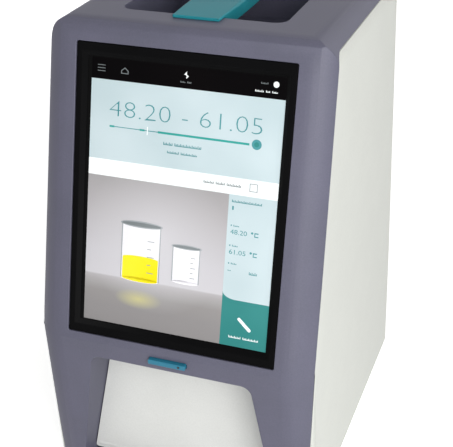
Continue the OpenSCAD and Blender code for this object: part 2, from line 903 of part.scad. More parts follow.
module air_pump() {
    color("#54575c") {
        block(6, 46, -8, 12, deck_top, deck_top + 6);
        translate([0, 2, deck_top + 15]) rod_x(11, 8, 46);
        translate([0, 2, deck_top + 8]) rod_x(2.2, 2, 10);
    }
}

module air_tube() {
    color("#d9dcd6") translate([0, 2, deck_top + 8]) rod_x(2.2, -4, 2);
}

// Upright sheet between the wet half and the electronics, with feet on the base plate
module chassis() {
    top = trough_z - niche_wall;
    half = split_x - 2;
    color("#bfc3c5") difference() {
        union() {
            block(-half, half, frame_y1, frame_y1 + 2, floor_z, top);
            block(-half, half, frame_y1, frame_y1 + 20, floor_z, floor_z + 2);
            block(-60, 60, frame_y1, frame_y1 + 18, top - 2, top);
        }
        for (x = [-70, 70]) translate([x, 0, 175]) rod_y(12, 0, 2 * frame_y1);
    }
}

module board_spots() {
    for (x = [-board_w / 2 + 6, board_w / 2 - 6])
        for (z = [board_z + 6, board_z + board_h - 6]) translate([x, 0, z]) children();
}

module board_standoffs() {
    color("#c9b26b") board_spots() rod_y(3, frame_y1 - standoff_h, frame_y1);
}

module main_board() {
    y1 = frame_y1 - standoff_h;
    y0 = y1 - 1.6;
    color("#2f6b4a") {
        block(-board_w / 2, board_w / 2, y0, y1, board_z, board_z + board_h);
        block(-22, 22, y0 - 9, y0, board_z + 60, board_z + 104);
        for (i = [0:3]) block(-60 + 13 * i, -50 + 13 * i, y0 - 7, y0, board_z + 8, board_z + 18);
        for (i = [0:2]) translate([34 + 12 * i, 0, board_z + 26]) rod_y(4.5, y0 - 13, y0);
        for (i = [0:2]) block(34, 58, y0 - 3, y0, board_z + 50 + 22 * i, board_z + 62 + 22 * i);
        for (i = [0:1]) block(-60, -34, y0 - 3, y0, board_z + 60 + 26 * i, board_z + 76 + 26 * i);
    }
}

module power_supply() {
    color("#a7abad") difference() {
        block(supply_x, supply_x + supply_w, supply_y, rear_y - 17.2, floor_z, floor_z + supply_h);
        for (i = [1:9]) for (j = [1:7])
            translate([supply_x + 10 * i, supply_y + 10 * j, floor_z + supply_h - 4])
                cylinder(r = 2.5, h = 10, $fn = 24);
    }
}

module mains_inlet() {
    color("#1d1e20") rear_frame() translate([inlet_x, 0, inlet_up]) difference() {
        union() {
            translate([0, -26, 0]) along_y(26) soft_box(inlet_w, inlet_h, 1.5);
            along_y(2) soft_box(inlet_w + 20, inlet_h + 4, 2);
        }
        translate([0, -16, 0]) along_y(20) soft_box(inlet_w - 4, inlet_h - 5, 3);
        translate([0, -22, 5 - inlet_h]) along_y(26) soft_box(12, 6, 0.6);
        for (s = [-1, 1]) translate([s * 20, 0, 0]) rod_y(1.6, -1, 3);
    }
    color("#c9a24a") rear_frame() translate([inlet_x, 0, inlet_up])
        for (p = [[-7, -1.5], [0, 2.5], [7, -1.5]])
            block(p[0] - 1, p[0] + 1, -17, -6, p[1] - 2, p[1] + 2);
}

module fuse_drawer() {
    color("#2b2c2f") rear_frame() translate([inlet_x, 0, fuse_up]) {
        translate([0, -20, 0]) along_y(20) soft_box(fuse_w, fuse_h, 1);
        along_y(1.6) soft_box(fuse_w + 3, fuse_h + 3, 1.5);
    }
}

module switch_frame() {
    color("#1d1e20") rear_frame() translate([inlet_x, 0, switch_up]) difference() {
        union() {
            translate([0, -20, 0]) along_y(20) soft_box(rocker_w + 4, rocker_h + 4, 1.5);
            along_y(2) soft_box(rocker_w + 8, rocker_h + 8, 2);
        }
        translate([0, -9, 0]) along_y(14) soft_box(rocker_w + 1, rocker_h + 1.6, 0.8);
        translate([0, rocker_y, 0]) rod_x(axle_r + run_fit, -rocker_w / 2 - 1.6, rocker_w / 2 + 1.6);
    }
}

module power_rocker() {
    half = rocker_h / 2;
    color("#26272a") rear_frame() translate([inlet_x, 0, switch_up]) {
        along_x(rocker_w) polygon([[-4, -4], [-4, 4], [-1, half - 1], [2.6, half - 1],
            [0.9, 0], [4.2, -half + 1], [0.4, -half + 0.6], [-1, -half + 1]]);
        translate([0, rocker_y, 0]) rod_x(axle_r, -rocker_w / 2 - 1.5, rocker_w / 2 + 1.5);
    }
}

module io_ports() {
    color("#3c3f44") rear_frame() translate([port_x, 0, port_up]) difference() {
        union() {
            block(-33, 33, -18, 0.5, -8.5, 8.5);
            block(-37, 37, -wall - 3, -wall, -12.5, 12.5);
        }
        block(-30, -14, -12, 8, -6.5, 6.5);
        for (x = [-3, 13]) block(x - 3, x + 3, -12, 8, -6.75, 6.75);
        block(20.5, 29.5, -8, 8, -2, 2);
    }
}

module fan_screw_spots() {
    rear_frame() for (p = spots([-1, 1], [-1, 1]))
        translate([p[0] * (fan_w / 2 - 4.3), 0, fan_up + p[1] * (fan_w / 2 - 4.3)]) children();
}

module fan_frame() {
    color("#2a2b2d") difference() {
        rear_frame() translate([0, -wall, fan_up]) difference() {
            translate([0, -fan_t, 0]) along_y(fan_t) soft_box(fan_w, fan_w, 4);
            difference() {
                rod_y(fan_w / 2 - 2, -fan_t - 1, 1);
                rod_y(14, -fan_t - 2, -fan_t + 3);
                for (a = [0:3]) rotate([0, 45 + 90 * a, 0]) block(0, fan_w, -fan_t - 2, -fan_t + 2, -1.5, 1.5);
            }
        }
        fan_screw_spots() rod_y(1.8, -fan_t - 10, 5);
    }
    color("#2a2b2d") rear_frame() translate([0, -wall, fan_up]) rod_y(2, -fan_t + 2.9, -8);
}

module fan_rotor() {
    color("#35373a") rear_frame() translate([0, -wall, fan_up]) difference() {
        union() {
            rod_y(14, -fan_t + 3.5, -3);
            for (a = [0:6]) rotate([0, a * 360 / 7, 0]) rotate([0, 0, 0])
                translate([12, -13, 0]) rotate([32, 0, 0]) translate([0, -9, -1]) cube([23, 18, 2]);
        }
        rod_y(2 + run_fit, -fan_t, -7.5);
    }
}

module fan_guard() {
    color("#c3c6c8") difference() {
        union() {
            rear_frame() translate([0, 0, fan_up]) {
                for (r = [10, 20, 30, 39]) translate([0, 2.6 * guard_r, 0]) rotate([90, 0, 0])
                    rotate_extrude($fn = 48) translate([r, 0]) circle(guard_r, $fn = 16);
                difference() {
                    for (a = [45, 135]) rotate([0, a, 0]) translate([0, guard_r, 0])
                        rod_x(guard_r, -49, 49);
                    rod_y(9.2, -1, 9);
                }
            }
            fan_screw_spots() rod_y(4, 0, 2 * guard_r);
        }
        fan_screw_spots() rod_y(1.8, -1, 9);
    }
}

module fan_screws() {
    color("#8f9295") fan_screw_spots() {
        rod_y(1.8, -wall - 8, 2 * guard_r);
        rod_y(3.4, 2 * guard_r, 2 * guard_r + 2);
    }
}

front_cover();
carry_handle();
handle_screws();
side_panel_left();
side_panel_right();
rear_panel();
rear_screws();
base_plate();
feet();
foot_screws();
screen_bezel();
touch_glass();
display_panel();
display_bracket();
display_screws();
door();
hinge_pin();
latch_button();
status_lamp();
latch_switch();
bay_liner();
lift_frame();
guide_rods();
lead_screw();
lift_motor();
lift_carriage();
stir_motor();
stir_magnet();
cup_gasket();
sample_cup();
stir_bar();
oven_block();
insulator();
hv_electrode();
earth_electrode();
thermocouple();
peltier_module();
heat_sink();
igniter_module();
ignition_lead();
air_pump();
air_tube();
pressure_sensor();
chassis();
main_board();
board_standoffs();
power_supply();
mains_inlet();
fuse_drawer();
switch_frame();
power_rocker();
io_ports();
fan_frame();
fan_rotor();
fan_guard();
fan_screws();
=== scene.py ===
"""Bench flash point tester: finishes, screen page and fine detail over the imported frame."""
import json
import math

import bmesh
import bpy
from mathutils import Matrix, Vector


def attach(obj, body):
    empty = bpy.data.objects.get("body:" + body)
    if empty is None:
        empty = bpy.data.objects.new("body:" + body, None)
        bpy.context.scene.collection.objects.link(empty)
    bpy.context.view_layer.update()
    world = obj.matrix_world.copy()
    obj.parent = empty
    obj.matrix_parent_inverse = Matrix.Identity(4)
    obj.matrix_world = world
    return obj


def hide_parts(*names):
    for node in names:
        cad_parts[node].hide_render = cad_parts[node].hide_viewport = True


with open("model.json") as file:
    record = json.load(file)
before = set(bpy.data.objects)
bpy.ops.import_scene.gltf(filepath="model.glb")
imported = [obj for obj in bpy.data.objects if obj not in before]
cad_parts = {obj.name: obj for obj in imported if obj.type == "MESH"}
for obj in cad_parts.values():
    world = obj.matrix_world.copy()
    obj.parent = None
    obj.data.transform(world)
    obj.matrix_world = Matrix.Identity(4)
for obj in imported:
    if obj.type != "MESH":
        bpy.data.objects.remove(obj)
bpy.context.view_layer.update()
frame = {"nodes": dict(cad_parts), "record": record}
nodes = frame["nodes"]
MM = 0.001

# Sizes shared with the solids, in millimetres and degrees
SCREEN_LEAN = 13.7
REAR_LEAN = 5.45
FRONT_Y = -145.3
REAR_Y = FRONT_Y + 294.5
CREASE_Z = 153
FOOT_H = 6
BEZEL_MID = 6.6 + 228.6 / 2
GLASS_DEPTH = 4.5
LIT = (153.6, 207)
SWITCH_X = -62
SWITCH_UP = 86
INLET_UP = 42
PORT_X = 42
PORT_UP = 150

# The screen's page, in millimetres: how far right of the frame's middle it lies, the share of
# its width that is drawn, the strength of its own light, and the lines between its fields,
# from its middle
PAGE_RIGHT = 1.4
PAGE_SHARE = 0.988
PAGE_GLOW = 0.11
BAR_LOW = 87.5
HEAD_LOW = 27
STRIP_LOW = 14.2
KEY_TOP = -66.5
READINGS_LEFT = 39.2

# Plates of a sheet, in millimetres: their foot over the sheet, the height of each level, and
# the pitch of the strokes that stand for letters
PLATE_FOOT = 0.02
PLATE_STEP = 0.06
STROKE_PITCH = 1.15

# Edges, in degrees and millimetres: triangles within FLAT of each other are one face, corners
# within WELD one corner, edges over SHARP get a radius, and shading runs on up to SMOOTH
FLAT = 0.3
WELD = 0.001
SHARP = 35
SMOOTH = 40

# Camera as fitted to the photograph: degrees, metres, then the focal length and the width of
# the picture in its pixels
YAW, PITCH, ROLL = 20.402, 28.181, -0.984
CAMERA_SPOT = (0.28338, -0.77004, 0.636)
FOCAL_PX = 1073.36
PHOTO_PX = 453
SENSOR_MM = 36

# Studio: half the floor's side in millimetres, the light that the camera sees on the floor
# besides the lamps', the share of the white surroundings that lights things, and the soft
# boxes with place and side in metres and power in watts, which face AIM
FLOOR_HALF = 6000
FLOOR_GLOW = 0.6
AIR_LIGHT = 0.34
AIM = (0, 0, 0.22)
LAMPS = {
    "key": ((0.62, -0.72, 0.6), 0.6, 5.2),
    "fill": ((0.8, -1.5, 0.4), 1.4, 12),
    "back": ((0.9, 1.1, 1.3), 1, 3.5),
    "behind": ((-0.9, 1.5, 0.1), 0.6, 8),
}


def leaning(y, z, lean):
    """Frame of a leaning face: origin at (0, y, z), y into the case, z up the slope."""
    return Matrix.Translation((0, y, z)) @ Matrix.Rotation(math.radians(lean), 4, "X")


SCREEN = leaning(FRONT_Y, CREASE_Z, -SCREEN_LEAN)
REAR = leaning(REAR_Y, FOOT_H, REAR_LEAN)
# Page of the screen: x right, y up the slope, z out of the glass, origin in its middle
PAGE = (SCREEN @ Matrix.Translation((PAGE_RIGHT, GLASS_DEPTH, BEZEL_MID))
        @ Matrix.Rotation(math.pi / 2, 4, "X") @ Matrix.Diagonal((PAGE_SHARE, 1, 1, 1)))
TO_METRES = Matrix.Scale(MM, 4)


def linear(code):
    """sRGB hex to the linear colour that the shader takes."""
    parts = [int(code[i:i + 2], 16) / 255 for i in (1, 3, 5)]
    return [c / 12.92 if c <= 0.04045 else ((c + 0.055) / 1.055) ** 2.4 for c in parts] + [1]


def add(tree, kind, inputs=None, **settings):
    """Adds a node; inputs maps a socket to a value or to the output that feeds it."""
    node = tree.nodes.new(kind)
    for name, value in settings.items():
        setattr(node, name, value)
    for name, value in (inputs or {}).items():
        if isinstance(value, bpy.types.NodeSocket):
            tree.links.new(value, node.inputs[name])
        else:
            node.inputs[name].default_value = value
    return node


def maths(tree, operation, *values):
    """Math node over those values; returns its output."""
    return add(tree, "ShaderNodeMath", dict(enumerate(values)), operation=operation).outputs[0]


def ramp(tree, factor, stops):
    """Colour ramp over (position, colour) stops."""
    node = add(tree, "ShaderNodeValToRGB", {"Fac": factor})
    marks = node.color_ramp.elements
    while len(marks) < len(stops):
        marks.new(0.5)
    for mark, (position, colour) in zip(marks, stops):
        mark.position = position
        mark.color = linear(colour)
    return node.outputs["Color"]


def start(name):
    """New material with a Principled shader; returns the material, its tree and that shader."""
    material = bpy.data.materials.new(name)
    material.use_nodes = True
    tree = material.node_tree
    return material, tree, tree.nodes["Principled BSDF"]


def place(tree, stretch=(1, 1, 1)):
    """Object coordinates in millimetres, stretched along the axes."""
    coords = add(tree, "ShaderNodeTexCoord")
    size = [s / MM for s in stretch]
    mapped = add(tree, "ShaderNodeMapping", {"Vector": coords.outputs["Object"], "Scale": size})
    return mapped.outputs["Vector"]


def finish(name, dark, light, rough, grain, depth, stretch=(1, 1, 1), patch=40, **sockets):
    """Surface whose colour drifts between two tones in patches and whose grain is a noise.

    grain and patch are the sizes of a grain and of a patch in millimetres, depth is the
    height of the grain in millimetres and rough the range of the roughness.
    """
    material, tree, shader = start(name)
    spot = place(tree, stretch)
    drift = add(tree, "ShaderNodeTexNoise", {"Vector": spot, "Scale": 1 / patch, "Detail": 3})
    grains = add(tree, "ShaderNodeTexNoise", {"Vector": spot, "Scale": 1 / grain, "Detail": 2})
    both = maths(tree, "ADD", drift.outputs["Fac"], grains.outputs["Fac"])
    tone = maths(tree, "MULTIPLY", both, 0.5)
    colour = ramp(tree, tone, [(0.35, dark), (0.65, light)])
    tree.links.new(colour, shader.inputs["Base Color"])
    gloss = add(tree, "ShaderNodeMapRange", {"Value": tone, "From Min": 0.3, "From Max": 0.7,
                                             "To Min": rough[0], "To Max": rough[1]})
    tree.links.new(gloss.outputs["Result"], shader.inputs["Roughness"])
    bump = add(tree, "ShaderNodeBump",
               {"Height": grains.outputs["Fac"], "Distance": depth * MM, "Strength": 1})
    tree.links.new(bump.outputs["Normal"], shader.inputs["Normal"])
    for socket, value in sockets.items():
        shader.inputs[socket.replace("_", " ")].default_value = value
    return material


# Polyurethane-painted moulded cover: soft, slightly grained grey-violet
COVER = finish("moulded cover, textured", "#555565", "#5e5d6f", (0.5, 0.58), 1.1, 0.02, IOR=1.5)
# Powder-coated steel side: off-white with a faint orange peel
PANEL = finish("powder coat, off-white", "#cfd1ca", "#d5d7d0", (0.42, 0.5), 2.2, 0.015, IOR=1.5)
# Moulded nylon bar: satin teal
GRIP = finish("nylon, teal satin", "#208490", "#2a8f9b", (0.44, 0.52), 0.9, 0.015, IOR=1.3)
# Polycarbonate button: glossy blue
BUTTON = finish("polycarbonate, blue gloss", "#20708a", "#2a7c96", (0.26, 0.34), 1.5, 0.006,
                IOR=1.4)
# Moulded ABS screen frame: black with a fine spark-eroded grain
BEZEL = finish("ABS, black spark-eroded", "#060607", "#0a0a0b", (0.42, 0.5), 0.8, 0.012, IOR=1.12)
# Cover glass over the switched-off border of the display: black and glossy
GLASS = finish("cover glass, black behind", "#040404", "#070708", (0.04, 0.07), 60, 0.002, IOR=1.15)
# Moulded ABS door: white, satin
DOOR_WHITE = finish("ABS, white satin", "#dcddd9", "#e4e5e1", (0.36, 0.44), 1.2, 0.01, IOR=1.53)
# Zinc-plated sheet: even spangle-free grey with rolling lines along x
SHEET = finish("zinc-plated sheet", "#a9acae", "#c2c5c7", (0.34, 0.5), 0.6, 0.006, (0.05, 1, 1),
               Metallic=1)
# Turned and ground steel: bright, with fine rings of tool marks across its length
BRIGHT = finish("ground steel", "#b9bcbe", "#d2d4d6", (0.16, 0.26), 0.35, 0.003, (1, 1, 0.2),
                Metallic=1)
# Sand-cast and milled aluminium: pale, a little rough
CAST = finish("cast aluminium", "#9ea2a5", "#b9bcbf", (0.4, 0.55), 0.9, 0.03, Metallic=1)
# Anodised extrusion: grey with lines along the fins
SINK = finish("anodised aluminium extrusion", "#7f8488", "#999ea2", (0.35, 0.45), 0.5, 0.01,
              (1, 0.05, 1), Metallic=1)
# Vulcanised rubber: near black, dull
RUBBER = finish("rubber, black", "#202022", "#2d2d2f", (0.75, 0.88), 0.7, 0.03, IOR=1.52)
# Glass-filled nylon of motors, sockets and fans: black, dull
DEVICE = finish("glass-filled nylon, black", "#202124", "#2b2c2f", (0.5, 0.62), 0.6, 0.015,
                IOR=1.53)
# Solder-masked board: green with tracks just under the lacquer
BOARD = finish("circuit board, green mask", "#24573b", "#346f4e", (0.25, 0.4), 1.6, 0.02,
               (1, 1, 0.3), IOR=1.5)
# Machined brass: warm, bright
BRASS = finish("brass, machined", "#b59b55", "#cfb673", (0.24, 0.36), 0.4, 0.004, (1, 1, 0.2),
               Metallic=1)
# Sintered alumina: white, smooth
CERAMIC = finish("alumina ceramic", "#e8e5da", "#f2efe6", (0.2, 0.3), 1.4, 0.005, IOR=1.76)
# PTFE coat of the stirring bar: waxy white
PTFE = finish("PTFE, white", "#ecece9", "#f4f4f2", (0.3, 0.38), 1, 0.004, IOR=1.35)
# Silicone of the ignition lead: dark red, dull
LEAD = finish("silicone lead, red", "#7d2823", "#953631", (0.55, 0.65), 0.8, 0.01, IOR=1.43)
# Silicone tube: milky
TUBE = finish("silicone tube, milky", "#cfd2cc", "#dfe1dc", (0.3, 0.4), 1.5, 0.004, IOR=1.41)
# Moulded PBT sensor case: blue
SENSOR = finish("PBT, blue", "#296682", "#347797", (0.4, 0.5), 0.8, 0.012, IOR=1.55)

FINISHES = {
    "cover_grey": COVER, "panel_white": PANEL, "grip_teal": GRIP, "button_blue": BUTTON,
    "bezel_black": BEZEL, "screen_glass": GLASS, "door_white": DOOR_WHITE, "sheet_steel": SHEET,
    "bright_steel": BRIGHT, "cast_aluminium": CAST, "sink_aluminium": SINK, "rubber_black": RUBBER,
    "device_black": DEVICE, "board_green": BOARD, "brass": BRASS, "ceramic_white": CERAMIC,
    "ptfe_white": PTFE, "cable_red": LEAD, "tube_clear": TUBE, "sensor_blue": SENSOR,
}
SLOT = {part["node"]: part["material_slot"] for part in frame["record"]["subparts"]}
BODY = {node: body for body, members in frame["record"]["behaviour"]["bodies"].items()
        for node in members}
for node, slot in SLOT.items():
    for holder in nodes[node].material_slots:
        holder.material = FINISHES[slot]


# Moulded and bent edges

def finished(name, bm, matrix, materials, smooth=None):
    """Object in metres at the origin from a bmesh in millimetres in the given frame."""
    bmesh.ops.transform(bm, matrix=TO_METRES @ matrix, verts=bm.verts)
    mesh = bpy.data.meshes.new(name)
    bm.to_mesh(mesh)
    bm.free()
    for material in materials:
        mesh.materials.append(material)
    if smooth:
        mesh.shade_smooth()
        mesh.set_sharp_from_angle(angle=math.radians(smooth))
    piece = bpy.data.objects.new(name, mesh)
    bpy.context.scene.collection.objects.link(piece)
    return piece


def whole_faces(node):
    """Bmesh of a solid in millimetres, its loose triangles joined into whole faces."""
    bm = bmesh.new()
    bm.from_mesh(nodes[node].data)
    bmesh.ops.scale(bm, vec=(1 / MM, 1 / MM, 1 / MM), verts=bm.verts)
    bmesh.ops.remove_doubles(bm, verts=bm.verts, dist=WELD)
    bmesh.ops.dissolve_limit(bm, angle_limit=math.radians(FLAT), verts=bm.verts, edges=bm.edges)
    return bm


def eased(node, radius, chosen=lambda spot: True):
    """Stands in for a solid: its outer edges whose two ends are chosen get that radius."""
    bm = whole_faces(node)
    outer = [e for e in bm.edges if e.is_manifold and e.is_convex
             and e.calc_face_angle() > math.radians(SHARP) and all(chosen(v.co) for v in e.verts)]
    bmesh.ops.bevel(bm, geom=outer, offset=radius, segments=3, profile=0.5, affect="EDGES",
                    clamp_overlap=False, material=-1)
    piece = finished(node + "_eased", bm, Matrix.Identity(4), [FINISHES[SLOT[node]]], SMOOTH)
    even = piece.modifiers.new("even shading", "WEIGHTED_NORMAL")
    even.keep_sharp = True
    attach(piece, BODY[node])
    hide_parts(node)


# Edge radii as moulded or bent, in millimetres
for node, radius in {
        "side_panel_left": 0.4, "side_panel_right": 0.4, "rear_panel": 0.4, "screen_bezel": 0.5,
        "latch_button": 0.5, "touch_glass": 0.3, "feet": 0.8, "mains_inlet": 0.4,
        "fuse_drawer": 0.3, "switch_frame": 0.4, "power_rocker": 0.4, "io_ports": 0.2,
        "fan_frame": 0.4, "bay_liner": 0.2, "rear_screws": 0.15, "lift_carriage": 0.5,
        "sample_cup": 0.3, "carry_handle": 0.8}.items():
    eased(node, radius)

# Cover and door lie close to each other deep in the niche and about the hinge. Their edges
# stay as they are there, and get their radius over and in front of the niche, or over the hinge.
OVER_NICHE = 145
BEFORE_NICHE = -125
OVER_HINGE = 32
eased("front_cover", 0.6, lambda spot: spot.z > OVER_NICHE or spot.y < BEFORE_NICHE)
eased("door", 1, lambda spot: spot.z > OVER_HINGE)


# The page shown on the screen

def lit(name, dark, light, glow=PAGE_GLOW):
    """Lit area of the display: a colour that drifts a little over the page.

    The pixel rows are 0.15 mm apart; they are drawn 0.6 mm apart so that they can show.
    """
    material, tree, shader = start(name)
    spot = page_coords(tree)
    rows = add(tree, "ShaderNodeTexWave",
               {"Vector": spot, "Scale": 0.5, "Distortion": 0.5, "Detail": 0}, bands_direction="Y")
    drift = add(tree, "ShaderNodeTexNoise", {"Vector": spot, "Scale": 1 / 60, "Detail": 1})
    blend = maths(tree, "MULTIPLY_ADD", rows.outputs["Fac"], 0.06, drift.outputs["Fac"])
    shine(tree, shader, ramp(tree, blend, [(0.38, dark), (0.66, light)]), glow)
    return material


def page_coords(tree):
    """Millimetres on the page: x right, y up from its middle."""
    coords = add(tree, "ShaderNodeTexCoord")
    middle = [v * MM for v in PAGE.translation]
    return add(tree, "ShaderNodeMapping", {"Vector": coords.outputs["Object"], "Location": middle,
                                           "Rotation": PAGE.to_euler(), "Scale": (MM, MM, MM)},
               vector_type="TEXTURE").outputs["Vector"]


def shine(tree, shader, colour, glow):
    """Colour of the page: partly its own light, partly lit from outside, with little sheen."""
    tree.links.new(colour, shader.inputs["Base Color"])
    tree.links.new(colour, shader.inputs["Emission Color"])
    shader.inputs["Emission Strength"].default_value = glow
    shader.inputs["Roughness"].default_value = 0.5
    shader.inputs["IOR"].default_value = 1.12


def soft_spot(tree, spot, under, middle, size, strength, colour):
    """Round patch of a colour that fades out over the colour under it, placed on the page."""
    inside = add(tree, "ShaderNodeMapping", {"Vector": spot, "Location": middle, "Scale": size},
                 vector_type="TEXTURE")
    ball = add(tree, "ShaderNodeTexGradient", {"Vector": inside.outputs["Vector"]},
               gradient_type="SPHERICAL")
    share = maths(tree, "MULTIPLY", ball.outputs["Fac"], strength)
    mixed = add(tree, "ShaderNodeMix", {"Factor": share, "A": under, "B": linear(colour)},
                data_type="RGBA")
    return mixed.outputs["Result"]


def picture(name):
    """Studio view on the page: a wall that brightens downwards, a table, a yellow reflection."""
    material, tree, shader = start(name)
    spot = page_coords(tree)
    axes = add(tree, "ShaderNodeSeparateXYZ", {"Vector": spot})
    height = add(tree, "ShaderNodeMapRange",
                 {"Value": axes.outputs["Y"], "From Min": -LIT[1] / 2, "From Max": 14})
    colour = ramp(tree, height.outputs["Result"], [
        (0, "#8d8a8a"), (0.12, "#8f8c8c"), (0.22, "#949190"), (0.3, "#a9a6a7"), (0.325, "#b3b0b2"),
        (0.335, "#cac8cc"), (0.5, "#c4c2c6"), (0.8, "#b1aeb0"), (1, "#a3a0a1")])
    colour = soft_spot(tree, spot, colour, (-18, -30, 0), (62, 60, 40), 0.55, "#dddce0")
    colour = soft_spot(tree, spot, colour, (-30, -80, 0), (20, 8, 10), 0.75, "#cfc98a")
    shine(tree, shader, colour, PAGE_GLOW)
    return material


PAGE_BLACK = lit("display, black bar", "#020102", "#050304", 0.1)
PAGE_BLUE = lit("display, pale blue", "#bbccd0", "#c6d5d9", 0.13)
PAGE_WHITE = lit("display, white", "#eaf0f0", "#f3f7f7", 0.16)
PAGE_TEAL = lit("display, teal", "#35807d", "#3e8986")
PAGE_INK = lit("display, teal ink", "#3f7f85", "#4e8f94", 0.3)
PAGE_DARK = lit("display, grey ink", "#6d7375", "#7c8284", 0.3)
PAGE_LINE = lit("display, progress line", "#2f8f88", "#3a9a93", 0.3)
PAGE_YELLOW = lit("display, yellow", "#eee01c", "#f6ec3a")
PAGE_RIM = lit("display, beaker outline", "#8b9094", "#a0a5a8", 0.35)
PAGE_CUP = lit("display, beaker glass", "#e9e8ec", "#f3f2f5")
PAGE_PHOTO = picture("display, studio picture")


class Sheet:
    """Flat shapes on one plane, each a thin plate that rises to its own level."""

    def __init__(self, name):
        self.name = name
        self.bm = bmesh.new()
        self.materials = []

    def number(self, material):
        """The material's number among those of the sheet."""
        if material not in self.materials:
            self.materials.append(material)
        return self.materials.index(material)

    def plate(self, outline, level, material):
        """Plate with that outline."""
        number = self.number(material)
        low = [self.bm.verts.new((x, y, PLATE_FOOT)) for x, y in outline]
        face = self.bm.faces.new(low)
        if face.normal.z > 0:
            face.normal_flip()
        top = bmesh.ops.extrude_face_region(self.bm, geom=[face])
        raised = [v for v in top["geom"] if isinstance(v, bmesh.types.BMVert)]
        bmesh.ops.translate(self.bm, verts=raised, vec=(0, 0, PLATE_STEP * level))
        for part in {f for v in low + raised for f in v.link_faces}:
            part.material_index = number

    def box(self, x0, x1, y0, y1, level, material):
        self.plate([(x0, y0), (x1, y0), (x1, y1), (x0, y1)], level, material)

    def disc(self, x, y, rx, ry, level, material, steps=40):
        turn = [2 * math.pi * i / steps for i in range(steps)]
        self.plate([(x + rx * math.cos(a), y + ry * math.sin(a)) for a in turn], level, material)

    def words(self, x, y, widths, height, level, material, gap=1.1):
        """Line of small print that spells nothing: each word a row of upright strokes."""
        for width in widths:
            count = max(1, round(width / STROKE_PITCH))
            pitch = width / count
            for i in range(count):
                left = x + i * pitch
                top = y + height * (0.5, 0.2, 0.35, 0.1)[i % 4]
                self.box(left, left + 0.5 * pitch, y - height / 2, top, level, material)
            self.box(x, x + width - 0.5 * pitch, y - height / 2, y - 0.28 * height, level, material)
            x += width + gap

    def digits(self, text, x, y, height, width, level, material, thin=0.0):
        """Figures from the built-in font, made a mesh, with that cap height and line width."""
        curve = bpy.data.curves.new("figures", "FONT")
        curve.body = text
        curve.offset = -thin
        curve.resolution_u = 3
        writing = bpy.data.objects.new("figures", curve)
        bpy.context.scene.collection.objects.link(writing)
        graph = bpy.context.evaluated_depsgraph_get()
        mesh = bpy.data.meshes.new_from_object(writing.evaluated_get(graph))
        bpy.data.objects.remove(writing)
        xs = [v.co.x for v in mesh.vertices]
        ys = [v.co.y for v in mesh.vertices]
        grow = Matrix.Diagonal((width / (max(xs) - min(xs)), height / (max(ys) - min(ys)), 1, 1))
        to_corner = Matrix.Translation((-min(xs), -min(ys), 0))
        mesh.transform(Matrix.Translation((x, y, 0)) @ grow @ to_corner)
        number = self.number(material)
        part = bmesh.new()
        part.from_mesh(mesh)
        for face in part.faces:
            face.material_index = number
            if face.normal.z < 0:
                face.normal_flip()
        bmesh.ops.translate(part, verts=part.verts, vec=(0, 0, PLATE_FOOT + PLATE_STEP * level))
        part.to_mesh(mesh)
        part.free()
        self.bm.from_mesh(mesh)
        bpy.data.meshes.remove(mesh)

    def done(self, matrix):
        return finished(self.name, self.bm, matrix, self.materials)


